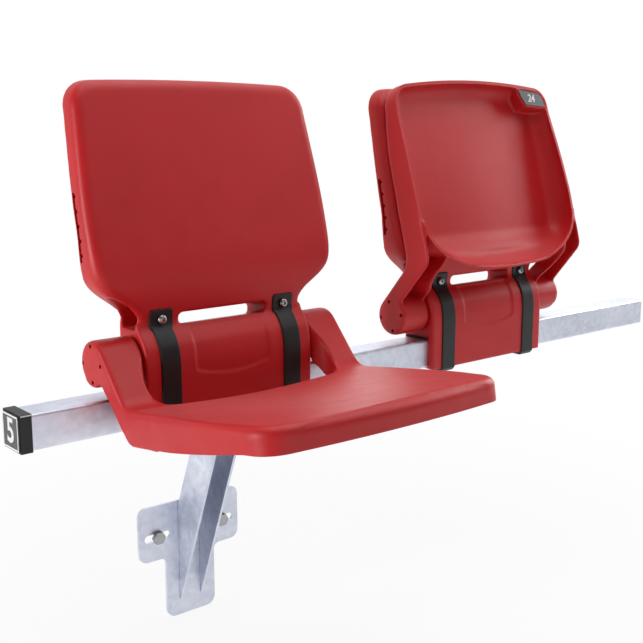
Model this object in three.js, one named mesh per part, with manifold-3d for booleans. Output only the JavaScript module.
import * as THREE from "three";
import Module from "manifold-3d";
import { mergeVertices } from "three/addons/utils/BufferGeometryUtils.js";

// A beam-mounted pair of tip-up stadium seats on a riser bracket.
// Millimetres, +Z up, sitters face -Y. The origin is on the rear face of the riser plate,
// midway between its two slots, where it bears on the concrete step.

const wasm = await Module();
wasm.setup();

// The row
const SEAT_COUNT = 2;
const OPEN_SEATS = 1;                  // the first seat stands open, the others folded up
const SEAT_PITCH = 572;                // between the middles of two seats
const BEAM_LEFT = 331;                 // from the first seat's middle to the beam's left end
const BEAM_RIGHT = 512;                // from the last seat's middle to the beam's right end
const BEAM_REACH = 102;                // from the riser to the beam's middle
const BEAM_RISE = 252;                 // from the riser bolts up to the beam's middle
const CLEARANCE = 0.3;                 // between pieces that bear on each other
const OVERRUN = 40;                    // how far every cut runs past the face it opens

// The beam and its fittings
const BEAM_SIDE = 50;
const BEAM_WALL = 3;
const BEAM_CORNER = 4;
const CAP_LENGTH = 16.5;
const CAP_WALL = 1.2;
const MARKER_SIDE = 49;
const MARKER_THICKNESS = 2;

// The hinge, as seen from the beam
const PIVOT_RISE = 71;                 // above the beam's middle
const PIVOT_BACK = 3.8;                // behind the beam's middle
const OPEN_TILT = 8;                   // degrees that the open pan rises to its front
const FOLD_RANGE = 97.5;               // degrees from open to folded

// The seat back and its saddle
const SEAT_WIDTH = 424;
const SADDLE_WIDTH = 296;
const BACK_TOP = 391;                  // above the pivot
const BACK_FOOT = 38;                  // above the pivot, where the neck leaves the saddle
const BACK_SETBACK = 49;               // how far behind the pivot the top of the front face is
const BACK_DEPTH = 38;                 // front to rear through the panel
const NECK_DEPTH = 50;                 // front to rear through the neck
const BACK_CROWN = 3;
const BACK_CORNER = 40;
const BACK_WALL = 4;
const FRONT_ROUND = 9;
const REAR_ROUND = 4;
const SADDLE_FRONT = 41.5;             // ahead of the pivot
const NECK_FRONT = 15.5;               // ahead of the pivot, at the foot of the neck
const SADDLE_SKIRT = 8;                // wall of the skirt behind the beam
const SKIRT_OVERLAP = 3;               // how far the skirts reach below the beam
const SADDLE_ROUND = 5;
const BULGE_TOP = 50;                  // above the pivot, where the neck turns into the saddle's bulge
const PAD_THICKNESS = 3;
const PAD_SHOW = 4;                    // how far the rubber pad shows past the saddle

// The handle slot through the neck
const SLOT_WIDTH = 156;
const SLOT_HEIGHT = 17;
const SLOT_RISE = 51.5;                // the middle of its front mouth, above the pivot
const SLOT_FALL = 11;                  // degrees that it falls to the rear
const SLOT_CORNER = 6;

// The straps
const STRAP_SPACING = 218;
const STRAP_WIDTH = 32;
const STRAP_THICKNESS = 5.3;
const STRAP_HEEL = 9;                  // its thickness under the beam
const STRAP_SUNK = 3;                  // how far it lies in its groove
const STRAP_END_RISE = 34;             // up the saddle's rear skirt from the bottom of the beam
const HEAD_WIDTH = 38;
const HEAD_TOP = 69;                   // above the pivot
const HEAD_FOOT = 40;
const HEAD_CORNER = 5;
const SCREW_SHANK = 4;                 // radius
const SCREW_HEAD = 7;                  // radius
const SCREW_HEAD_HEIGHT = 4;
const SCREW_LENGTH = 28;
const SCREW_SOCKET = 2.6;              // radius of the socket's corners
const SCREW_SOCKET_DEPTH = 2.2;
const END_SCREW_LENGTH = 10;

// The pan
const PAN_FRONT = 398;                 // from the pivot along the pan to its front edge
const PAN_REAR = 90;                   // from the pivot along the pan to the rear of its top
const PAN_DROP = 59.5;                 // from the pivot down to the pan's top face
const PAN_SKIRT_REAR = 50.5;           // depth of the skirt at the arms
const PAN_SKIRT_FRONT = 34;            // depth of the skirt at the front, from the level of the top
const FRONT_FALL = 4;                  // how far the top falls towards its front edge
const PAN_CROWN = 10;                  // bow of the front edge
const PAN_CORNER = 32;
const RIM_SETBACK = 4;                 // how far the rim's front lies behind the top's front
const RIM_DRAFT = 4.5;                 // how far the rim's sides lie inside the top's sides
const RIM_CROWN = 9.5;
const RIM_CORNER = 35;
const PAN_ROUND = 10;
const PAN_SKIN = 4.5;
const PAN_WALL = 6;
const BOWL_REAR = 50;                  // from the pivot along the pan to the rear rim
const DISH_DEPTH = 6;                  // of the hollow in the top, deepest near its rear edge
const DISH_HALF_WIDTH = 195;
const DISH_HALF_LENGTH = 190;
const DISH_MIDDLE = 100;               // from the pivot along the pan

// The arms and drums
const DRUM_RADIUS = 33.5;
const DRUM_GAP = 3;                    // between the saddle's side and the drum
const ARM_WALL = 5;
const ARM_WAIST = 165;                 // from the middle to the arm's inner side where it is thinnest
const DRUM_HOLE_RADIUS = 3;
const DRUM_HOLE_CIRCLE = 25.5;
const DRUM_HOLE_DEPTH = 9;
const DRUM_HOLE_COUNT = 4;

// The hinge pieces
const AXLE_RADIUS = 8;
const AXLE_IN_SADDLE = 74;             // length in the saddle
const AXLE_IN_DRUM = 46;               // length past the saddle's side
const BUSH_WALL = 3.2;
const BUSH_FLANGE = 2;
const BUSH_FLANGE_RADIUS = 20;
const SPRING_WIRE = 3.6;
const SPRING_LENGTH = 42;
const SPRING_TURNS = 9;
const SPRING_PLAY = 1;

// The number plate under the pan's corner
const PLATE_THICKNESS = 2.4;
const PLATE_MARGIN = 3;
const PLATE_RIM_MARGIN = 9;            // from the plate to the outside of the rim

// The riser bracket
const PLATE_SHEET = 5;
const EAR_SPAN = 190;
const EAR_TOP = 53;                    // above the bolts
const EAR_FOOT = 39;                   // below the bolts
const EAR_CORNER = 15;
const STEM_WIDTH = 92;
const STEM_FILLET = 10.5;              // where the stem meets the ears
const STEM_FOOT = 145;                 // below the bolts
const RISER_SLOT_INNER = 37;           // from the middle
const RISER_SLOT_LENGTH = 48;
const RISER_SLOT_HEIGHT = 13;
const BOLT_RADIUS = 6;
const BOLT_FLATS = 19;
const BOLT_HEAD_HEIGHT = 7.5;
const BOLT_OFFSET = 61;                // from the middle
const ARM_SHEET = 4.5;
const CHANNEL_WIDTH = 44;
const CHANNEL_LEAN = 22.6;             // degrees from upright
const CHANNEL_NOSE = 35;               // upright front edge under the cradle
const CHANNEL_HEEL = 46;               // above the bolts, where its rear edge leaves the plate
const CHANNEL_FOOT = 119;              // below the bolts
const CRADLE_LENGTH = 120;
const CRADLE_SHEET = 5;
const CRADLE_MARGIN = 2;
const CRADLE_BOLT_SPACING = 86;
const CRADLE_BOLT_RADIUS = 5;
const CRADLE_BOLT_FLATS = 17;
const CRADLE_BOLT_HEAD = 6.4;
const NUT_PLATE_THICKNESS = 6;
const NUT_PLATE_MARGIN = 14;
const FIT = 0.4;                       // radial clearance of screws and bolts in their holes
const SLIVER = 0.02;                   // edges shorter than this are closed up in the pan

// How finely curves are cut
const ROUND_STEPS = 3;
const CORNER_STEPS = 5;
const DRUM_STEPS = 28;
const DRUM_ARC_STEPS = 20;
const DISH_STEPS = 24;
const SCREW_STEPS = 12;
const HOLE_STEPS = 8;
const HEX = 6;

// Worked out from the driving sizes
const HALF_SEAT = SEAT_WIDTH / 2;
const HALF_SADDLE = SADDLE_WIDTH / 2;
const HALF_BEAM = BEAM_SIDE / 2;
const BEAM_TOP = HALF_BEAM - PIVOT_RISE;               // as seen from the pivot
const BEAM_FOOT = -HALF_BEAM - PIVOT_RISE;
const BEAM_FRONT = -HALF_BEAM - PIVOT_BACK;
const BEAM_BACK = HALF_BEAM - PIVOT_BACK;
const SADDLE_FOOT = BEAM_FOOT - SKIRT_OVERLAP;
const DRUM_INNER = HALF_SADDLE + DRUM_GAP;

const RED = new THREE.MeshStandardMaterial({ color: 0xb0181d, roughness: 0.45, metalness: 0 });
const BLACK = new THREE.MeshStandardMaterial({ color: 0x1c1e1f, roughness: 0.6, metalness: 0 });
const GREY = new THREE.MeshStandardMaterial({ color: 0x54565a, roughness: 0.5, metalness: 0 });
const GALVANISED = new THREE.MeshStandardMaterial({ color: 0xc8ccd6, roughness: 0.4, metalness: 0.8 });
const ZINC = new THREE.MeshStandardMaterial({ color: 0xb9bcbe, roughness: 0.3, metalness: 1 });
const NYLON = new THREE.MeshStandardMaterial({ color: 0xd8d6cc, roughness: 0.5, metalness: 0 });

// Helpers: shapes, solids and cuts

const radians = THREE.MathUtils.degToRad;
const lerp = THREE.MathUtils.lerp;

function flip(outline) {
  return outline.map(([across, along]) => [-across, along]).reverse();
}

function shapeOf(points) {
  return new THREE.Shape(points.map(([across, along]) => new THREE.Vector2(across, along)));
}

function solidOf(geometry) {
  const bare = geometry.clone();
  bare.deleteAttribute("normal");
  bare.deleteAttribute("uv");
  const merged = mergeVertices(bare);
  const vertProperties = new Float32Array(merged.attributes.position.array);
  const triVerts = new Uint32Array(merged.index.array);
  return new wasm.Manifold(new wasm.Mesh({ numProp: 3, vertProperties, triVerts }));
}

function geometryOf(solid) {
  const mesh = solid.getMesh();
  const geometry = new THREE.BufferGeometry();
  geometry.setAttribute("position", new THREE.BufferAttribute(mesh.vertProperties, 3));
  geometry.setIndex(new THREE.BufferAttribute(mesh.triVerts, 1));
  geometry.computeVertexNormals();
  return geometry;
}

function joined(...solids) {
  return solids.reduce((whole, piece) => whole.add(piece));
}

function cut(solid, ...tools) {
  return tools.reduce((rest, tool) => rest.subtract(tool), solid);
}

// Prisms: an outline in two axes, pushed along the third from one place to another

function prism(points, from, to, basis, round = 0, steps = ROUND_STEPS - 1) {
  const settings = {
    depth: to - from - 2 * round,
    bevelEnabled: round > 0,
    bevelThickness: round,
    bevelSize: round,
    bevelOffset: -round,
    bevelSegments: steps,
    curveSegments: CORNER_STEPS,
  };
  const geometry = new THREE.ExtrudeGeometry(shapeOf(points), settings);
  geometry.translate(0, 0, from + round);
  geometry.applyMatrix4(basis);
  return solidOf(geometry);
}

const X_AXIS = new THREE.Vector3(1, 0, 0);
const Y_AXIS = new THREE.Vector3(0, 1, 0);
const Z_AXIS = new THREE.Vector3(0, 0, 1);
const ALONG_X = new THREE.Matrix4().makeBasis(Y_AXIS, Z_AXIS, X_AXIS);
const ALONG_Y = new THREE.Matrix4().makeBasis(X_AXIS.clone().negate(), Z_AXIS, Y_AXIS);
const ALONG_Z = new THREE.Matrix4();

// An outline of (y, z) pushed along x, of (x, z) along y, and of (x, y) along z
const prismX = (points, from, to, round, steps) => prism(points, from, to, ALONG_X, round, steps);
const prismY = (points, from, to, round) => prism(flip(points), from, to, ALONG_Y, round);
const prismZ = (points, from, to, round) => prism(points, from, to, ALONG_Z, round);

function rectangle(left, right, foot, top, corner = 0) {
  if (corner === 0) return [[left, foot], [right, foot], [right, top], [left, top]];
  const centres = [
    [right - corner, foot + corner, -90],
    [right - corner, top - corner, 0],
    [left + corner, top - corner, 90],
    [left + corner, foot + corner, 180],
  ];
  return centres.flatMap(([x, y, start]) => arc(x, y, corner, start, start + 90, CORNER_STEPS));
}

function arc(x, y, radius, start, end, steps) {
  const points = [];
  for (let step = 0; step <= steps; step += 1) {
    const angle = radians(lerp(start, end, step / steps));
    points.push([x + radius * Math.cos(angle), y + radius * Math.sin(angle)]);
  }
  return points;
}

function circle(x, y, radius, steps) {
  return arc(x, y, radius, 0, 360, steps).slice(0, steps);
}

function boxOf(x0, x1, y0, y1, z0, z1) {
  return prismZ(rectangle(x0, x1, y0, y1), z0, z1);
}

// A turned piece: (radius, place along the axis), closed at both ends on the axis
function turned(profile, axis, steps = SCREW_STEPS) {
  const points = profile.map(([radius, place]) => new THREE.Vector2(radius, place));
  const geometry = new THREE.LatheGeometry(points, steps);
  if (axis === "x") geometry.rotateZ(-Math.PI / 2);
  if (axis === "z") geometry.rotateX(Math.PI / 2);
  if (axis === "-y") geometry.rotateX(Math.PI);
  return solidOf(geometry);
}

function rod(radius, from, to, axis, steps = SCREW_STEPS) {
  return turned([[0, from], [radius, from], [radius, to], [0, to]], axis, steps);
}

function between(table, share) {
  const next = table.findIndex(([at]) => at >= share);
  if (next === 0) return table[0][1];
  if (next < 0) return table[table.length - 1][1];
  const [at0, value0] = table[next - 1];
  const [at1, value1] = table[next];
  return lerp(value0, value1, (share - at0) / (at1 - at0));
}

// A path of points moved sideways by a distance, to the left of its direction
function besides(path, distance) {
  return path.map((point, index) => {
    const before = path[Math.max(index - 1, 0)];
    const after = path[Math.min(index + 1, path.length - 1)];
    const into = new THREE.Vector2(point[0] - before[0], point[1] - before[1]);
    const out = new THREE.Vector2(after[0] - point[0], after[1] - point[1]);
    if (into.length() === 0) into.copy(out);
    if (out.length() === 0) out.copy(into);
    into.normalize();
    out.normalize();
    const middle = into.clone().add(out).normalize();
    const stretch = distance / middle.dot(into);
    return [point[0] - middle.y * stretch, point[1] + middle.x * stretch];
  });
}

// A half outline, given from its foot to its top on the +X side, drawn in by a distance
function drawnIn(half, distance) {
  const mirrored = half.map(([across, along]) => [-across, along]);
  const path = [mirrored[0], ...half, mirrored[mirrored.length - 1]];
  return besides(path, distance).slice(1, -1);
}

// A solid skinned over rings. Each ring holds the +X half of a symmetric outline as
// points in space, from its foot to its top. Both ends close in strips from side to side.
function skinned(halfRings) {
  const count = halfRings[0].length * 2;
  const rings = halfRings.map((half) => {
    const far = half.map(([x, y, z]) => [-x, y, z]).reverse();
    return [...half, ...far];
  });
  const positions = rings.flat(2);
  const faces = [];
  for (let ring = 0; ring < rings.length - 1; ring += 1) {
    for (let point = 0; point < count; point += 1) {
      const a = ring * count + point;
      const b = ring * count + ((point + 1) % count);
      faces.push(a, b, b + count, a, b + count, a + count);
    }
  }
  const last = (rings.length - 1) * count;
  for (let point = 0; point < count / 2 - 1; point += 1) {
    const far = count - 1 - point;
    faces.push(point, far, far - 1, point, far - 1, point + 1);
    faces.push(last + point, last + far - 1, last + far, last + point, last + point + 1, last + far - 1);
  }
  if (signedVolume(positions, faces) < 0) faces.reverse();
  const geometry = new THREE.BufferGeometry();
  geometry.setAttribute("position", new THREE.Float32BufferAttribute(positions, 3));
  geometry.setIndex(faces);
  return solidOf(geometry);
}

function signedVolume(positions, faces) {
  const corner = (index) => new THREE.Vector3().fromArray(positions, faces[index] * 3);
  let volume = 0;
  for (let index = 0; index < faces.length; index += 3) {
    volume += corner(index).dot(corner(index + 1).cross(corner(index + 2)));
  }
  return volume;
}

// Steps of a rounded edge: how far it is drawn in, and how deep it lies
function rounding(radius, steps = ROUND_STEPS) {
  const list = [];
  for (let step = 0; step <= steps; step += 1) {
    const angle = (Math.PI / 2) * (step / steps);
    list.push([radius * (1 - Math.sin(angle)), radius * (1 - Math.cos(angle))]);
  }
  return list;
}

// The seat back

// Height share from foot to top, and the front face's place as a share of the setback
const BACK_FRONT_shares = [
  [0, -0.3], [0.068, -0.357], [0.119, -0.415], [0.176, -0.452], [0.232, -0.44],
  [0.289, -0.37], [0.346, -0.273], [1, 0.98],
];
// Height share, and the share of the way from the neck's half width to the panel's
const BACK_WIDTH_shares = [
  [0, 0], [0.04, 0.015], [0.068, 0.055], [0.096, 0.21], [0.125, 0.43], [0.153, 0.64],
  [0.18, 0.8], [0.21, 0.91], [0.255, 0.975], [0.317, 1], [0.47, 1], [0.6, 0.97], [0.74, 0.915], [0.87, 0.86],
];
// Height share, and the share of the way from the panel's depth to the neck's
const BACK_DEPTH_shares = [[0, 1], [0.176, 1], [0.346, 0.3], [0.46, 0], [1, 0]];
const CROWN_shares = [0.66, 0.33, 0.03];

const BACK_HEIGHT = BACK_TOP - BACK_FOOT;
const backShare = (z) => (z - BACK_FOOT) / BACK_HEIGHT;
const backFront = (z) => BACK_SETBACK * between(BACK_FRONT_shares, backShare(z));
const backDepth = (z) => lerp(BACK_DEPTH, NECK_DEPTH, between(BACK_DEPTH_shares, backShare(z)));
const backHalfWidth = (z) => lerp(HALF_SADDLE, HALF_SEAT, between(BACK_WIDTH_shares, backShare(z)));

function backOutline() {
  const side = BACK_WIDTH_shares.map(([share]) => {
    const z = BACK_FOOT + share * BACK_HEIGHT;
    return [backHalfWidth(z), z];
  });
  const corner = side[side.length - 1][0] - BACK_CORNER;
  const crownFoot = BACK_TOP - BACK_CROWN;
  const round = arc(corner, crownFoot - BACK_CORNER, BACK_CORNER, 0, 90, CORNER_STEPS);
  const crown = CROWN_shares.map((share) => [corner * share, BACK_TOP - BACK_CROWN * share ** 2]);
  return [...side, ...round, ...crown];
}

// A slab with the back's outline and lean, drawn in by a wall on every side
function backSlab(half, wall, front, rear) {
  const rings = [];
  rounding(front).forEach(([inset, depth]) => {
    const ring = drawnIn(half, wall + inset);
    rings.push(ring.map(([x, z]) => [x, backFront(z) + wall + depth, z]));
  });
  rounding(rear, ROUND_STEPS - 1).reverse().forEach(([inset, depth]) => {
    const ring = drawnIn(half, wall + inset);
    rings.push(ring.map(([x, z]) => [x, backFront(z) + backDepth(z) - wall - depth, z]));
  });
  return skinned(rings);
}

// The saddle's front from the neck down: share of the bulge's reach, share of its height
const SADDLE_FRONT_shares = [
  [0.115, 1.4], [0.03, 1.16], [0, 1], [0.06, 0.88], [0.24, 0.75], [0.5, 0.6],
  [0.8, 0.34], [0.95, 0], [1, -0.36],
];
const REAR_ROOF_shares = [[0.72, 0.3], [1, 0.75]];

function saddleFrontLine(foot) {
  const line = SADDLE_FRONT_shares.map(([reach, height]) => {
    return [-lerp(NECK_FRONT, SADDLE_FRONT, reach), BULGE_TOP * height];
  });
  return [...line, [-SADDLE_FRONT, foot]];
}

const SADDLE_REAR = BEAM_BACK + CLEARANCE + SADDLE_SKIRT;
const SADDLE_ROOF = BEAM_TOP + CLEARANCE + PAD_THICKNESS + CLEARANCE;
const neckRear = backFront(BACK_FOOT) + backDepth(BACK_FOOT);

function saddleBody() {
  const front = saddleFrontLine(SADDLE_FOOT).filter(([, z]) => z <= BULGE_TOP);
  const rear = REAR_ROOF_shares.map(([reach, height]) => {
    return [lerp(SADDLE_REAR, neckRear, reach), BACK_FOOT * height];
  });
  const profile = [
    ...front,
    [BEAM_FRONT - CLEARANCE, SADDLE_FOOT],
    [BEAM_FRONT - CLEARANCE, SADDLE_ROOF],
    [BEAM_BACK + CLEARANCE, SADDLE_ROOF],
    [BEAM_BACK + CLEARANCE, SADDLE_FOOT],
    [SADDLE_REAR, SADDLE_FOOT],
    [SADDLE_REAR, 0],
    ...rear,
    [neckRear, BULGE_TOP],
  ];
  return prismX(profile, -HALF_SADDLE, HALF_SADDLE, SADDLE_ROUND / 2);
}

// The strap's inner face, from the top of its head over the bulge, under the beam and up the rear
const STRAP_FRONT = SADDLE_FRONT - STRAP_SUNK;
const STRAP_FOOT = BEAM_FOOT - CLEARANCE;
const STRAP_REAR = SADDLE_REAR + CLEARANCE;

function strapInner() {
  const front = besides(saddleFrontLine(BEAM_FOOT + STRAP_THICKNESS), STRAP_SUNK);
  return [
    ...front,
    [-STRAP_FRONT + STRAP_SUNK, STRAP_FOOT],
    [STRAP_REAR - STRAP_SUNK, STRAP_FOOT],
    [STRAP_REAR, STRAP_FOOT + STRAP_SUNK],
    [STRAP_REAR, BEAM_FOOT + STRAP_END_RISE],
  ];
}

function strapOuter(inner) {
  const outer = besides(inner, -STRAP_THICKNESS);
  const last = outer.length - 1;
  const heel = STRAP_FOOT - STRAP_HEEL;
  const front = outer[last - 4][0];
  const rear = outer[last][0];
  return [
    ...outer.slice(0, last - 3),
    [front, STRAP_FOOT - STRAP_SUNK],
    [front + STRAP_THICKNESS, heel],
    [rear - STRAP_THICKNESS, heel],
    [rear, STRAP_FOOT - STRAP_SUNK],
    outer[last],
  ];
}

function strapGrooves() {
  const floor = besides(strapInner(), CLEARANCE);
  const outside = besides(floor, -OVERRUN);
  const band = [...outside, ...floor.slice().reverse()];
  const tools = [];
  for (const side of [-1, 1]) {
    const middle = (side * STRAP_SPACING) / 2;
    const half = STRAP_WIDTH / 2 + 2 * CLEARANCE;
    const headHalf = HEAD_WIDTH / 2 + 2 * CLEARANCE;
    const groove = prismX(band, middle - half, middle + half);
    const wide = prismX(band, middle - headHalf, middle + headHalf);
    const head = rectangle(middle - headHalf, middle + headHalf, HEAD_FOOT - CLEARANCE,
      HEAD_TOP + CLEARANCE, HEAD_CORNER);
    const below = boxOf(-HALF_SEAT, HALF_SEAT, -OVERRUN * 2, OVERRUN * 2, SADDLE_FOOT * 2, HEAD_FOOT);
    tools.push(groove.intersect(below));
    tools.push(wide.intersect(prismY(head, -OVERRUN * 2, OVERRUN)));
  }
  return tools;
}

// The recessed panel between the straps, with its sagging bottom edge
const PILLOW_HALF = 67;
const PILLOW_SUNK = 1.6;
const PILLOW_FOOT = 26;                // below the pivot at its corners
const PILLOW_SAG = 8;
const PILLOW_CORNER = 9;
const PILLOW_SIDE = 2;

function pillowCut() {
  const floor = besides(saddleFrontLine(SADDLE_FOOT), PILLOW_SUNK);
  const outside = besides(floor, -OVERRUN);
  const band = prismX([...outside, ...floor.reverse()], -PILLOW_HALF, PILLOW_HALF);
  const steps = CORNER_STEPS + 1;
  const sag = [];
  for (let step = 0; step <= steps; step += 1) {
    const share = 2 * (step / steps) - 1;
    const x = share * (PILLOW_HALF - PILLOW_CORNER);
    sag.push([x, -PILLOW_FOOT - PILLOW_SAG * (1 - share ** 2)]);
  }
  const window = [
    ...sag,
    [PILLOW_HALF - PILLOW_SIDE, -PILLOW_FOOT + PILLOW_CORNER / 2],
    [PILLOW_HALF, -PILLOW_FOOT + PILLOW_CORNER * 2],
    [PILLOW_HALF, BACK_FOOT],
    [-PILLOW_HALF, BACK_FOOT],
    [-PILLOW_HALF, -PILLOW_FOOT + PILLOW_CORNER * 2],
    [-PILLOW_HALF + PILLOW_SIDE, -PILLOW_FOOT + PILLOW_CORNER / 2],
  ];
  return band.intersect(prismY(window, -OVERRUN * 2, 0));
}

function handleSlot() {
  const half = SLOT_WIDTH / 2;
  const mouth = rectangle(-half, half, -SLOT_HEIGHT / 2, SLOT_HEIGHT / 2, SLOT_CORNER);
  const fall = Math.tan(radians(SLOT_FALL));
  return prismY(mouth, -OVERRUN, NECK_DEPTH + OVERRUN)
    .rotate([-SLOT_FALL, 0, 0])
    .translate([0, -NECK_FRONT, SLOT_RISE + (fall * STRAP_SUNK) / 2]);
}

// The open pocket in each side of the neck, between the front skin and the rear wall
const POCKET_INNER = 127;
const POCKET_SKIN = 7;
const POCKET_TIP = 94;                 // above the pivot
const POCKET_FOOT = 41;
const POCKET_WALL = 5;

function neckPocket(side) {
  const middle = (POCKET_TIP + POCKET_FOOT) / 2;
  const front = (z) => backFront(z) + POCKET_SKIN;
  const rear = (z) => backFront(z) + backDepth(z) - POCKET_WALL;
  const profile = [
    [front(POCKET_FOOT), POCKET_FOOT],
    [rear(POCKET_FOOT), POCKET_FOOT],
    [rear(middle), middle],
    [front(POCKET_TIP) + POCKET_WALL, POCKET_TIP],
    [front(POCKET_TIP), POCKET_TIP],
    [front(middle), middle],
  ];
  const from = side * POCKET_INNER;
  const to = side * (HALF_SEAT + OVERRUN);
  return prismX(profile, Math.min(from, to), Math.max(from, to));
}

// The long slot and the five holes low on each side wall of the panel
const SIDE_SLOT_TOP = 235;             // above the pivot
const SIDE_SLOT_FOOT = 140;
const SIDE_SLOT_WIDTH = 7;
const SIDE_SLOT_DEPTH = 5;
const SIDE_SLOT_REAR = 9;              // from the rear face to the slot's middle
const SIDE_HOLE_COUNT = 5;
const SIDE_HOLE_RADIUS = 2.2;
const SIDE_HOLE_DEPTH = 9;
const SIDE_HOLE_PITCH = 20;

function sideSlot(side) {
  const place = (z) => backFront(z) + backDepth(z) - SIDE_SLOT_REAR;
  const half = SIDE_SLOT_WIDTH / 2;
  const profile = [
    [place(SIDE_SLOT_FOOT) - half, SIDE_SLOT_FOOT],
    [place(SIDE_SLOT_FOOT) + half, SIDE_SLOT_FOOT],
    [place(SIDE_SLOT_TOP) + half, SIDE_SLOT_TOP],
    [place(SIDE_SLOT_TOP) - half, SIDE_SLOT_TOP],
  ];
  const from = side * (HALF_SEAT - SIDE_SLOT_DEPTH / 2);
  const to = side * (HALF_SEAT + OVERRUN);
  const tools = [prismX(profile, Math.min(from, to), Math.max(from, to))];
  for (let hole = 0; hole < SIDE_HOLE_COUNT; hole += 1) {
    const z = SIDE_SLOT_FOOT + SIDE_HOLE_PITCH * (hole + 1 / 2);
    const start = side * (HALF_SEAT - SIDE_HOLE_DEPTH);
    const drill = rod(SIDE_HOLE_RADIUS, Math.min(start, to), Math.max(start, to), "x");
    tools.push(drill.translate([0, place(z), z]));
  }
  return tools;
}

// The saddle is cored out from below, between the two hinge bores
const CORE_HALF = 66;
const CORE_WALL = 7;
const CORE_TOP = 22;                   // above the pivot
const SPRING_BORE = AXLE_RADIUS + SPRING_WIRE * 2 + SPRING_PLAY;

function saddleCuts() {
  const core = [
    [-SADDLE_FRONT + CORE_WALL + SADDLE_ROUND, SADDLE_ROOF - OVERRUN / 2],
    [SADDLE_REAR - CORE_WALL, SADDLE_ROOF - OVERRUN / 2],
    [SADDLE_REAR - CORE_WALL, CORE_TOP / 2],
    [SADDLE_REAR / 2, CORE_TOP],
    [-NECK_FRONT, CORE_TOP],
    [-SADDLE_FRONT + CORE_WALL + SADDLE_ROUND, 0],
  ];
  const window = boxOf(-CORE_HALF, CORE_HALF, BEAM_FRONT, BEAM_BACK, SADDLE_ROOF - OVERRUN / 2, BULGE_TOP);
  const tools = [prismX(core, -CORE_HALF, CORE_HALF).intersect(window)];
  for (const side of [-1, 1]) {
    const mouth = side * (HALF_SADDLE + OVERRUN);
    const floor = side * (HALF_SADDLE - SPRING_LENGTH - BUSH_FLANGE * 2);
    const seat = side * (HALF_SADDLE - AXLE_IN_SADDLE - CLEARANCE);
    tools.push(rod(SPRING_BORE, Math.min(floor, mouth), Math.max(floor, mouth), "x", DRUM_STEPS / 2));
    tools.push(rod(AXLE_RADIUS + FIT, Math.min(seat, mouth), Math.max(seat, mouth), "x"));
    const screwPlace = (side * STRAP_SPACING) / 2;
    const pilot = rod(SCREW_SHANK + FIT, -OVERRUN, OVERRUN, "y");
    const depth = boxOf(-OVERRUN, OVERRUN, -OVERRUN, SCREW_LENGTH - NECK_FRONT, -OVERRUN, OVERRUN);
    tools.push(pilot.intersect(depth).translate([screwPlace, 0, screwRise]));
    const rearPilot = rod(SCREW_SHANK + FIT, BEAM_BACK, SADDLE_REAR + OVERRUN, "y");
    tools.push(rearPilot.translate([screwPlace, 0, endScrewRise]));
  }
  return tools;
}

const screwRise = (HEAD_TOP + HEAD_FOOT) / 2 - CLEARANCE;
const endScrewRise = BEAM_FOOT + STRAP_END_RISE - STRAP_WIDTH / 3;

function backrest() {
  const outline = backOutline();
  const panel = backSlab(outline, 0, FRONT_ROUND, REAR_ROUND);
  const upper = outline.filter(([, z]) => z > POCKET_TIP - BACK_DEPTH / 2);
  const hollow = backSlab(upper, BACK_WALL, FRONT_ROUND / 2, REAR_ROUND / 2);
  const pockets = [neckPocket(-1), neckPocket(1)];
  const body = joined(panel, saddleBody());
  return cut(body, hollow, ...pockets, handleSlot(), pillowCut(), ...strapGrooves(),
    ...sideSlot(-1), ...sideSlot(1), ...saddleCuts());
}

// The straps and their screws

function clampStrap(side) {
  const inner = strapInner();
  const outer = strapOuter(inner);
  const band = [...outer, ...inner.slice().reverse()];
  const middle = (side * STRAP_SPACING) / 2;
  const strip = prismX(band, middle - STRAP_WIDTH / 2, middle + STRAP_WIDTH / 2);
  const wide = prismX(band, middle - HEAD_WIDTH / 2, middle + HEAD_WIDTH / 2);
  const head = rectangle(middle - HEAD_WIDTH / 2, middle + HEAD_WIDTH / 2, HEAD_FOOT, HEAD_TOP, HEAD_CORNER);
  const window = prismY(head, -OVERRUN * 2, OVERRUN);
  const below = boxOf(-HALF_SEAT, HALF_SEAT, -OVERRUN * 2, OVERRUN * 2, SADDLE_FOOT * 2, HEAD_FOOT + HEAD_CORNER);
  const strap = joined(strip.intersect(below), wide.intersect(window));
  const hole = rod(SCREW_SHANK + FIT, -OVERRUN * 2, OVERRUN * 2, "y");
  const front = boxOf(-HALF_SEAT, HALF_SEAT, -OVERRUN * 2, 0, -OVERRUN, OVERRUN);
  const rear = boxOf(-HALF_SEAT, HALF_SEAT, 0, OVERRUN * 2, -OVERRUN, OVERRUN);
  return cut(
    strap,
    hole.intersect(front).translate([middle, 0, screwRise]),
    hole.intersect(rear).translate([middle, 0, endScrewRise]),
  );
}

// A screw's domed head: share of its radius, share of its height
const SCREW_HEAD_shares = [[0, 1], [0.62, 1], [0.92, 0.6], [1, 0.2], [1, 0]];

// A pan-head screw that points along +Y from the underside of its head
function panScrew(length) {
  const head = SCREW_HEAD_shares.map(([across, up]) => [SCREW_HEAD * across, -SCREW_HEAD_HEIGHT * up]);
  const profile = [
    ...head,
    [SCREW_SHANK, 0],
    [SCREW_SHANK, length],
    [0, length],
  ];
  const socket = prismY(circle(0, 0, SCREW_SOCKET, HEX), -SCREW_HEAD_HEIGHT - OVERRUN,
    -SCREW_HEAD_HEIGHT + SCREW_SOCKET_DEPTH);
  return cut(turned(profile, "y"), socket);
}

function strapHeadScrew(side) {
  const floor = backFront(screwRise) + STRAP_SUNK - STRAP_THICKNESS;
  const screw = panScrew(SCREW_LENGTH - STRAP_SUNK * 2);
  return screw.translate([(side * STRAP_SPACING) / 2, floor - CLEARANCE * 3, screwRise]);
}

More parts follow.
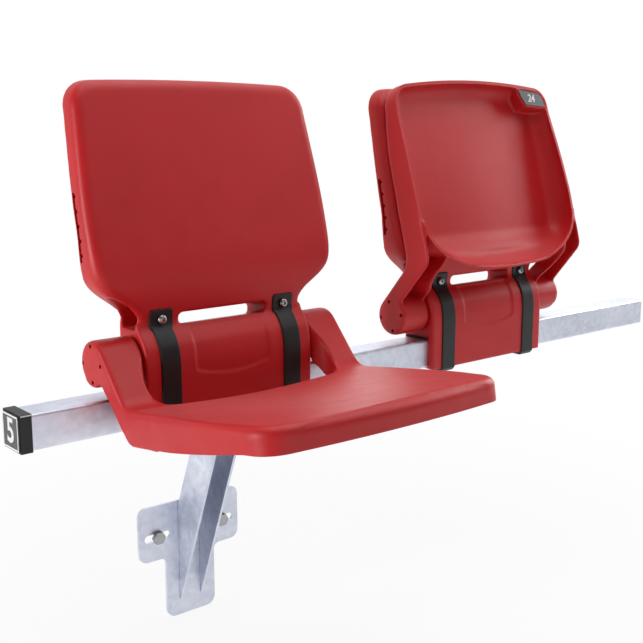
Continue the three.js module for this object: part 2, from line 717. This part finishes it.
function strapEndScrew(side) {
  const screw = panScrew(END_SCREW_LENGTH).rotate([180, 0, 0]);
  return screw.translate([(side * STRAP_SPACING) / 2, STRAP_REAR + STRAP_THICKNESS + CLEARANCE, endScrewRise]);
}

function saddlePad() {
  const half = HALF_SADDLE + PAD_SHOW;
  const foot = BEAM_TOP + CLEARANCE;
  return boxOf(-half, half, BEAM_FRONT, BEAM_BACK, foot, foot + PAD_THICKNESS);
}

// The hinge pieces, one set a side

function hingeAxle(side) {
  const inner = side * (HALF_SADDLE - AXLE_IN_SADDLE);
  const outer = side * (HALF_SADDLE + AXLE_IN_DRUM);
  return rod(AXLE_RADIUS, Math.min(inner, outer), Math.max(inner, outer), "x", DRUM_STEPS);
}

function hingeBush(side) {
  const bore = (AXLE_RADIUS + CLEARANCE / 4) / Math.cos(Math.PI / DRUM_STEPS);
  const outside = bore + BUSH_WALL;
  const flangeFace = HALF_SADDLE + (DRUM_GAP - BUSH_FLANGE) / 2;
  const flangeEnd = flangeFace + BUSH_FLANGE;
  const end = HALF_SADDLE + AXLE_IN_DRUM;
  const profile = [
    [bore, flangeFace], [BUSH_FLANGE_RADIUS, flangeFace], [BUSH_FLANGE_RADIUS, flangeEnd],
    [outside, flangeEnd], [outside, end], [bore, end], [bore, flangeFace],
  ];
  const bush = turned(profile, "x", DRUM_STEPS);
  return side > 0 ? bush : bush.mirror([1, 0, 0]);
}

// The torsion spring, as the sleeve of space that its closed turns fill
function returnSpring(side) {
  const inner = AXLE_RADIUS + SPRING_WIRE / 4;
  const outer = inner + SPRING_WIRE;
  const start = HALF_SADDLE - SPRING_LENGTH - BUSH_FLANGE;
  const pitch = SPRING_LENGTH / SPRING_TURNS;
  const groove = SPRING_WIRE / 4;
  const profile = [[inner, start]];
  for (let turn = 0; turn < SPRING_TURNS; turn += 1) {
    const place = start + pitch * turn;
    profile.push([outer - groove, place]);
    profile.push([outer, place + pitch / 2]);
  }
  profile.push([outer - groove, start + SPRING_LENGTH]);
  profile.push([inner, start + SPRING_LENGTH]);
  profile.push([inner, start]);
  const spring = turned(profile, "x", SCREW_STEPS);
  return side > 0 ? spring : spring.mirror([1, 0, 0]);
}

// The pan, in its own frame: x across, -y forward from the pivot, z up off the pan

// The pan's plan from the rear middle round to the front corner. Share of the half width, share of
// the way from the rear to the front, first for the top face and then for the rim of the bowl.
const PAN_TOP_shares = [
  [0.1, 0], [0.3, 0], [0.5, 0], [0.68, 0], [0.84, 0.01], [0.93, 0.05], [0.98, 0.12],
  [1, 0.2], [1, 0.36], [1, 0.52], [0.992, 0.63], [0.975, 0.75], [0.955, 0.84],
];
const PAN_RIM_shares = [
  [0.1, 0], [0.275, 0.006], [0.47, 0.02], [0.626, 0.047], [0.795, 0.1], [0.911, 0.166], [0.973, 0.24],
  [1, 0.32], [1, 0.41], [0.997, 0.54], [0.99, 0.65], [0.982, 0.78], [0.975, 0.86],
];
const TOP_PLAN = {
  shares: PAN_TOP_shares,
  rear: PAN_REAR,
  front: PAN_FRONT,
  half: HALF_SEAT,
  corner: PAN_CORNER,
  crown: PAN_CROWN,
};
const RIM_PLAN = {
  shares: PAN_RIM_shares,
  rear: BOWL_REAR,
  front: PAN_FRONT - RIM_SETBACK,
  half: HALF_SEAT - RIM_DRAFT,
  corner: RIM_CORNER,
  crown: RIM_CROWN,
};

function panOutline(plan) {
  const cornerRow = plan.front - plan.crown - plan.corner;
  const side = plan.shares.map(([across, along]) => [plan.half * across, lerp(plan.rear, plan.front, along)]);
  const corner = side[side.length - 1][0] - plan.corner;
  const round = arc(corner, cornerRow, plan.corner, 0, 90, CORNER_STEPS);
  const crown = CROWN_shares.map((share) => [corner * share, plan.front - plan.crown * share ** 2]);
  return [...side, ...round, ...crown];
}

// Share of the way from the rear of the top to its front, share of the way from deep to shallow skirt
const RIM_DROP_shares = [
  [0.08, 0], [0.195, 0.15], [0.315, 0.24], [0.45, 0.41], [0.585, 0.59], [0.68, 0.79], [0.76, 0.93], [0.83, 1],
];
// The same share, and the share of the front's fall
const FALL_shares = [[0.8, 0], [0.9, 0.3], [1, 1]];

const rimDrop = (along) => {
  const share = between(RIM_DROP_shares, (along - PAN_REAR) / (PAN_FRONT - PAN_REAR));
  return PAN_DROP + lerp(PAN_SKIRT_REAR, PAN_SKIRT_FRONT, share);
};

const topDrop = (along) => {
  return PAN_DROP + FRONT_FALL * between(FALL_shares, (along - PAN_REAR) / (PAN_FRONT - PAN_REAR));
};

function mixed(first, second, share) {
  return first.map(([x, along], index) => [
    lerp(x, second[index][0], share),
    lerp(along, second[index][1], share),
  ]);
}

// The outside of the pan without its arms: rounded top edge, then the skirt down to the rim
function panShell() {
  const top = panOutline(TOP_PLAN);
  const rim = panOutline(RIM_PLAN);
  const rings = rounding(PAN_ROUND).map(([inset, depth]) => {
    return drawnIn(top, inset).map(([x, along]) => [x, -along, -topDrop(along) - depth]);
  });
  rings.push(rim.map(([x, along]) => [x, -along, -rimDrop(along)]));
  return skinned(rings);
}

// The bowl under the pan: share of the way up from the rim, and how far its wall is drawn in
const BOWL_shares = [[-0.3, 0], [0.3, 0.03], [0.62, 0.13], [0.86, 0.32], [1, 0.75]];
const BOWL_SWEEP = 44;

function panBowl() {
  const top = panOutline(TOP_PLAN);
  const rim = panOutline(RIM_PLAN);
  const rings = BOWL_shares.map(([up, inset]) => {
    const outline = mixed(rim, top, Math.max(up, 0));
    return drawnIn(outline, PAN_WALL + BOWL_SWEEP * inset).map(([x, along]) => {
      const roof = -topDrop(along) - PAN_SKIN;
      return [x, -along, lerp(-rimDrop(along), roof, up)];
    });
  });
  return skinned(rings);
}

// The hollow in the top, as the space above it: share of its half width, share of its depth
const DISH_shares = [[0, 1], [0.25, 0.879], [0.5, 0.5625], [0.7, 0.26], [0.85, 0.077], [1, 0]];

function panDish() {
  const profile = DISH_shares.map(([across, down]) => [across, -DISH_DEPTH * down]);
  const space = turned([...profile, [1, PAN_DROP], [0, PAN_DROP]], "z", DISH_STEPS);
  return space.scale([DISH_HALF_WIDTH, DISH_HALF_LENGTH, 1]).translate([0, -DISH_MIDDLE, -PAN_DROP]);
}

// The arm, seen from the side. Its top line leaves the drum as a tangent and runs into the pan's top
// through a hollow fillet, and its bottom line runs from the drum's middle into the rim.
const ARM_FALL = 56;                   // degrees that the arm falls from the pan's own plane
const ARM_FILLET = 36;
const ARM_HEEL = 25;                   // radius where the arm's bottom line turns into the rim
const ARM_REACH = 158;                 // from the pivot to where the arm has run out in the pan
const ARM_KNEE = 114;                  // from the pivot to where the rim starts to rise

// The arm's inner side in plan, from the drum round its waist to the pan's rear edge. Share of the way
// from the drum's face to the waist, share of the way from the pivot to the rear of the top.
const WAIST_shares = [
  [0, 0.372], [0.36, 0.444], [0.75, 0.533], [0.96, 0.656], [0.86, 0.756], [0.64, 0.867],
  [0.07, 0.956], [-0.71, 1], [-1.43, 1.1],
];

// An arc where a line falling from the drum meets a level line below the pivot
function turnAt(level, offset, radius) {
  const fall = radians(ARM_FALL);
  const along = (offset + level * Math.cos(fall)) / Math.sin(fall);
  const centre = along + radius * Math.tan(fall / 2);
  return arc(centre, radius - level, radius, 270, 270 - ARM_FALL, ROUND_STEPS + 1);
}

const facingFront = (points) => points.map(([along, up]) => [-along, up]);

function armProfile() {
  const fillet = turnAt(PAN_DROP, DRUM_RADIUS, ARM_FILLET);
  const heel = turnAt(rimDrop(0), 0, ARM_HEEL).reverse();
  const drum = arc(0, 0, DRUM_RADIUS, 90 - ARM_FALL, 360 - ARM_FALL, DRUM_ARC_STEPS);
  return facingFront([
    ...drum,
    ...heel,
    [ARM_KNEE, -rimDrop(ARM_KNEE)],
    [ARM_REACH, -rimDrop(ARM_REACH)],
    [ARM_REACH, -PAN_DROP],
    ...fillet,
  ]);
}

// All that lies inside the drafted side faces, less a wall
function flanks(wall) {
  const half = HALF_SEAT - wall;
  const shoulder = -PAN_DROP - PAN_ROUND;
  const fall = PAN_SKIRT_REAR - PAN_ROUND;
  const outline = [
    [2 * RIM_DRAFT - half, shoulder - 2 * fall],
    [half - 2 * RIM_DRAFT, shoulder - 2 * fall],
    [half, shoulder],
    [half, OVERRUN],
    [-half, OVERRUN],
    [-half, shoulder],
  ];
  return prismY(outline, -PAN_FRONT, OVERRUN);
}

// All that lies outside the arm's inner side, less a wall
function besideWaist(side, wall) {
  const line = WAIST_shares.map(([across, along]) => {
    return [lerp(DRUM_INNER, ARM_WAIST, across), -PAN_REAR * along];
  });
  const path = [[DRUM_INNER, OVERRUN], ...line, [line[line.length - 1][0], -ARM_REACH - OVERRUN]];
  const plan = [...besides(path, wall), [SEAT_WIDTH, -ARM_REACH - OVERRUN], [SEAT_WIDTH, OVERRUN]];
  return prismZ(side > 0 ? plan : flip(plan), -PAN_FRONT, PAN_FRONT);
}

// The open pocket under the arm, below its top skin and clear of the drum
function armPocket(side) {
  const fillet = turnAt(PAN_DROP + PAN_SKIN, DRUM_RADIUS - PAN_SKIN, ARM_FILLET + PAN_SKIN);
  const fall = radians(ARM_FALL);
  const start = DRUM_RADIUS - PAN_SKIN;
  const profile = facingFront([
    [start * Math.sin(fall), start * Math.cos(fall)],
    ...fillet.reverse(),
    [ARM_REACH, -PAN_DROP - PAN_SKIN],
    [ARM_REACH, -PAN_DROP - PAN_SKIRT_REAR - OVERRUN],
    [0, -PAN_DROP - PAN_SKIRT_REAR - OVERRUN],
    [0, -DRUM_RADIUS],
  ]);
  const hollow = prismX(profile, Math.min(0, side * HALF_SEAT), Math.max(0, side * HALF_SEAT));
  const inside = flanks(ARM_WALL).intersect(besideWaist(side, ARM_WALL));
  return hollow.intersect(inside).subtract(rod(DRUM_RADIUS, -HALF_SEAT, HALF_SEAT, "x", DRUM_STEPS));
}

function arm(side) {
  const inner = DRUM_INNER - OVERRUN;
  const low = Math.min(side * inner, side * HALF_SEAT);
  const high = Math.max(side * inner, side * HALF_SEAT);
  const body = prismX(armProfile(), low, high, PAN_ROUND, ROUND_STEPS);
  return body.intersect(flanks(0)).intersect(besideWaist(side, 0));
}

// The boss in the pan's front corner that carries the number plate
const BOSS_shares = [
  [0.53, 1.02], [0.552, 0.965], [0.597, 0.915], [0.644, 0.876], [1, 0.864], [1, 1.02],
];

function bossPlan(inset, rimInset) {
  const points = BOSS_shares.map(([across, along]) => [HALF_SEAT * across, -PAN_FRONT * along]);
  const half = drawnIn(panOutline(RIM_PLAN), rimInset);
  const inside = [...half, ...half.map(([x, along]) => [-x, along]).reverse()];
  const bowlPlan = prismZ(inside.map(([x, along]) => [x, -along]), -PAN_FRONT, 0);
  const closed = besides([points[points.length - 1], ...points, points[0]], -inset).slice(1, -1);
  return prismZ(closed, -PAN_FRONT, 0).intersect(bowlPlan);
}

const BOSS_LEVEL = -PAN_DROP - PAN_SKIRT_FRONT;

function slab(solid, low, high) {
  return solid.intersect(boxOf(-SEAT_WIDTH, SEAT_WIDTH, -PAN_FRONT * 2, PAN_FRONT, low, high));
}

function drumCuts(side) {
  const face = side * (HALF_SEAT + OVERRUN);
  const reach = (from, to, radius, steps) => rod(radius, Math.min(from, to), Math.max(from, to), "x", steps);
  const bore = side * (HALF_SADDLE + AXLE_IN_DRUM + CLEARANCE * 2);
  const tools = [reach(side * HALF_SADDLE, bore, AXLE_RADIUS + BUSH_WALL + FIT * 2, DRUM_STEPS)];
  for (let hole = 0; hole < DRUM_HOLE_COUNT; hole += 1) {
    const angle = ((2 * Math.PI) / DRUM_HOLE_COUNT) * hole + radians(OPEN_TILT / 2);
    const drill = reach(side * (HALF_SEAT - DRUM_HOLE_DEPTH), face, DRUM_HOLE_RADIUS, HOLE_STEPS);
    tools.push(drill.translate([0, DRUM_HOLE_CIRCLE * Math.cos(angle), DRUM_HOLE_CIRCLE * Math.sin(angle)]));
  }
  return tools;
}

function seatPan() {
  const dish = panDish();
  const shell = panShell().subtract(dish);
  const body = joined(shell, arm(-1), arm(1));
  const boss = slab(bossPlan(0, PAN_WALL / 2), BOSS_LEVEL, 0);
  const bowl = cut(panBowl(), dish.translate([0, 0, -PAN_SKIN]), boss);
  const recess = slab(
    bossPlan(PLATE_MARGIN - CLEARANCE, PLATE_RIM_MARGIN - CLEARANCE),
    BOSS_LEVEL * 2,
    BOSS_LEVEL + PLATE_THICKNESS + CLEARANCE,
  );
  const pockets = [armPocket(-1).subtract(shell), armPocket(1).subtract(shell)];
  return cut(body, bowl, recess, ...pockets, ...drumCuts(-1), ...drumCuts(1)).simplify(SLIVER);
}

function numberPlate() {
  const plan = bossPlan(PLATE_MARGIN, PLATE_RIM_MARGIN);
  return slab(plan, BOSS_LEVEL, BOSS_LEVEL + PLATE_THICKNESS);
}

// The beam, its cap and the riser bracket, as seen from the beam's middle or the riser's face

function beam() {
  const right = SEAT_PITCH * (SEAT_COUNT - 1) + BEAM_RIGHT;
  const inner = HALF_BEAM - BEAM_WALL;
  const outside = prismX(rectangle(-HALF_BEAM, HALF_BEAM, -HALF_BEAM, HALF_BEAM, BEAM_CORNER), -BEAM_LEFT, right);
  const bore = prismX(rectangle(-inner, inner, -inner, inner), -BEAM_LEFT - OVERRUN, right + OVERRUN);
  const holes = [-1, 1].map((side) => rod(CRADLE_BOLT_RADIUS + FIT, -BEAM_SIDE, 0, "z")
    .translate([(side * CRADLE_BOLT_SPACING) / 2, 0, 0]));
  return cut(outside, bore, ...holes);
}

function endCap() {
  const cavity = HALF_BEAM + CLEARANCE;
  const outer = cavity + CAP_WALL;
  const end = -BEAM_LEFT - CLEARANCE;
  const block = prismX(rectangle(-outer, outer, -outer, outer, CAP_WALL / 2), end - CAP_WALL, end - CAP_WALL + CAP_LENGTH);
  return cut(block, prismX(rectangle(-cavity, cavity, -cavity, cavity), end, end + CAP_LENGTH));
}

function markerPlate() {
  const half = MARKER_SIDE / 2;
  const face = -BEAM_LEFT - CLEARANCE * 2 - CAP_WALL;
  return prismX(rectangle(-half, half, -half, half, BEAM_CORNER), face - MARKER_THICKNESS, face);
}

function riserPlate() {
  const stem = STEM_WIDTH / 2;
  const ear = EAR_SPAN / 2;
  const half = [
    ...arc(stem - EAR_CORNER, EAR_CORNER - STEM_FOOT, EAR_CORNER, -90, 0, CORNER_STEPS),
    ...arc(stem + STEM_FILLET, -EAR_FOOT - STEM_FILLET, STEM_FILLET, 180, 90, CORNER_STEPS),
    ...arc(ear - EAR_CORNER, EAR_CORNER - EAR_FOOT, EAR_CORNER, -90, 0, CORNER_STEPS),
    ...arc(ear - EAR_CORNER, EAR_TOP - EAR_CORNER, EAR_CORNER, 0, 90, CORNER_STEPS),
  ];
  const outline = [...half, ...half.map(([x, z]) => [-x, z]).reverse()];
  const sheet = prismY(outline, -PLATE_SHEET, 0);
  const slots = [-1, 1].map((side) => {
    const inner = side * RISER_SLOT_INNER;
    const outer = side * (RISER_SLOT_INNER + RISER_SLOT_LENGTH);
    const tall = RISER_SLOT_HEIGHT / 2;
    const mouth = rectangle(Math.min(inner, outer), Math.max(inner, outer), -tall, tall, tall);
    return prismY(mouth, -PLATE_SHEET - OVERRUN, OVERRUN);
  });
  return cut(sheet, ...slots);
}

const CRADLE_TOP = BEAM_RISE - HALF_BEAM - CLEARANCE;
const CHANNEL_TOP = CRADLE_TOP - CRADLE_SHEET - CLEARANCE;

function bracketChannel() {
  const back = -PLATE_SHEET - CLEARANCE;
  const lean = Math.tan(radians(CHANNEL_LEAN));
  const rear = (z) => back - Math.max(z - CHANNEL_HEEL, 0) * lean;
  const nose = CRADLE_MARGIN - BEAM_REACH - HALF_BEAM;
  const profile = [
    [back, -CHANNEL_FOOT],
    [back, CHANNEL_HEEL],
    [rear(CHANNEL_TOP), CHANNEL_TOP],
    [nose, CHANNEL_TOP],
    [nose, CHANNEL_TOP - CHANNEL_NOSE],
  ];
  const web = ARM_SHEET / Math.cos(radians(CHANNEL_LEAN));
  const inside = [
    [OVERRUN, -CHANNEL_FOOT - OVERRUN],
    [OVERRUN, CHANNEL_HEEL],
    [rear(CHANNEL_HEEL) - web, CHANNEL_HEEL],
    [rear(CHANNEL_TOP + OVERRUN) - web, CHANNEL_TOP + OVERRUN],
    [nose - OVERRUN * 2, CHANNEL_TOP + OVERRUN],
    [nose - OVERRUN * 2, -CHANNEL_FOOT - OVERRUN],
  ];
  const half = CHANNEL_WIDTH / 2;
  return cut(prismX(profile, -half, half), prismX(inside, -half + ARM_SHEET, half - ARM_SHEET));
}

function beamCradle() {
  const half = CRADLE_LENGTH / 2;
  const front = CRADLE_MARGIN - BEAM_REACH - HALF_BEAM;
  const rear = HALF_BEAM - BEAM_REACH - CRADLE_MARGIN;
  const sheet = boxOf(-half, half, front, rear, CRADLE_TOP - CRADLE_SHEET, CRADLE_TOP);
  const holes = [-1, 1].map((side) => rod(CRADLE_BOLT_RADIUS + FIT, CRADLE_TOP - OVERRUN, CRADLE_TOP + OVERRUN, "z")
    .translate([(side * CRADLE_BOLT_SPACING) / 2, -BEAM_REACH, 0]));
  return cut(sheet, ...holes);
}

function hexHead(flats) {
  return circle(0, 0, flats / Math.sqrt(3), HEX);
}

function riserBolt(side) {
  const top = -PLATE_SHEET - CLEARANCE;
  const head = prismY(hexHead(BOLT_FLATS), top - BOLT_HEAD_HEIGHT, top);
  const bolt = joined(head, rod(BOLT_RADIUS, top - BOLT_HEAD_HEIGHT / 2, -CLEARANCE, "y"));
  return bolt.translate([side * BOLT_OFFSET, 0, 0]);
}

const NUT_FLOOR = BEAM_RISE - HALF_BEAM + BEAM_WALL + CLEARANCE;

function cradleBolt(side) {
  const seat = CHANNEL_TOP;
  const head = prismZ(hexHead(CRADLE_BOLT_FLATS), seat - CRADLE_BOLT_HEAD, seat);
  const shank = rod(CRADLE_BOLT_RADIUS, seat - CRADLE_BOLT_HEAD / 2, NUT_FLOOR + NUT_PLATE_THICKNESS + BEAM_WALL, "z");
  return joined(head, shank).translate([(side * CRADLE_BOLT_SPACING) / 2, -BEAM_REACH, 0]);
}

function nutPlate() {
  const half = CRADLE_BOLT_SPACING / 2 + NUT_PLATE_MARGIN;
  const across = HALF_BEAM - BEAM_WALL - CRADLE_MARGIN;
  const bar = boxOf(-half, half, -BEAM_REACH - across, across - BEAM_REACH, NUT_FLOOR, NUT_FLOOR + NUT_PLATE_THICKNESS);
  const holes = [-1, 1].map((side) => rod(CRADLE_BOLT_RADIUS + FIT, NUT_FLOOR - OVERRUN, NUT_FLOOR + OVERRUN, "z")
    .translate([(side * CRADLE_BOLT_SPACING) / 2, -BEAM_REACH, 0]));
  return cut(bar, ...holes);
}

// Putting the row together

const SIDES = { left: -1, right: 1 };
const row = new THREE.Group();

function place(parent, name, solid, material) {
  const mesh = new THREE.Mesh(geometryOf(solid), material);
  mesh.name = name;
  parent.add(mesh);
}

place(row, "riser_plate", riserPlate(), GALVANISED);
place(row, "bracket_channel", bracketChannel(), GALVANISED);
place(row, "beam_cradle", beamCradle(), GALVANISED);
place(row, "beam_nut_plate", nutPlate(), ZINC);
for (const [name, side] of Object.entries(SIDES)) {
  place(row, `riser_bolt_${name}`, riserBolt(side), ZINC);
  place(row, `cradle_bolt_${name}`, cradleBolt(side), ZINC);
}

const beamGroup = new THREE.Group();
beamGroup.position.set(0, -BEAM_REACH, BEAM_RISE);
row.add(beamGroup);
place(beamGroup, "beam", beam(), GALVANISED);
place(beamGroup, "beam_end_cap", endCap(), BLACK);
place(beamGroup, "row_marker_plate", markerPlate(), GREY);

const fixedPieces = {
  backrest: [backrest(), RED],
  saddle_pad: [saddlePad(), BLACK],
};
for (const [name, side] of Object.entries(SIDES)) {
  fixedPieces[`clamp_strap_${name}`] = [clampStrap(side), BLACK];
  fixedPieces[`strap_head_screw_${name}`] = [strapHeadScrew(side), ZINC];
  fixedPieces[`strap_end_screw_${name}`] = [strapEndScrew(side), ZINC];
  fixedPieces[`hinge_axle_${name}`] = [hingeAxle(side), ZINC];
  fixedPieces[`return_spring_${name}`] = [returnSpring(side), ZINC];
}
const tippingPieces = {
  pan: [seatPan(), RED],
  number_plate: [numberPlate(), GREY],
};
for (const [name, side] of Object.entries(SIDES)) {
  tippingPieces[`hinge_bush_${name}`] = [hingeBush(side), NYLON];
}

for (let seat = 0; seat < SEAT_COUNT; seat += 1) {
  const frame = new THREE.Group();
  frame.position.set(SEAT_PITCH * seat, PIVOT_BACK - BEAM_REACH, BEAM_RISE + PIVOT_RISE);
  const tipping = new THREE.Group();
  tipping.rotation.x = -radians(OPEN_TILT + (seat < OPEN_SEATS ? 0 : FOLD_RANGE));
  frame.add(tipping);
  row.add(frame);
  for (const [name, piece] of Object.entries(fixedPieces)) {
    place(frame, `seat_${seat + 1}_${name}`, ...piece);
  }
  for (const [name, piece] of Object.entries(tippingPieces)) {
    place(tipping, `seat_${seat + 1}_${name}`, ...piece);
  }
}

export default row;
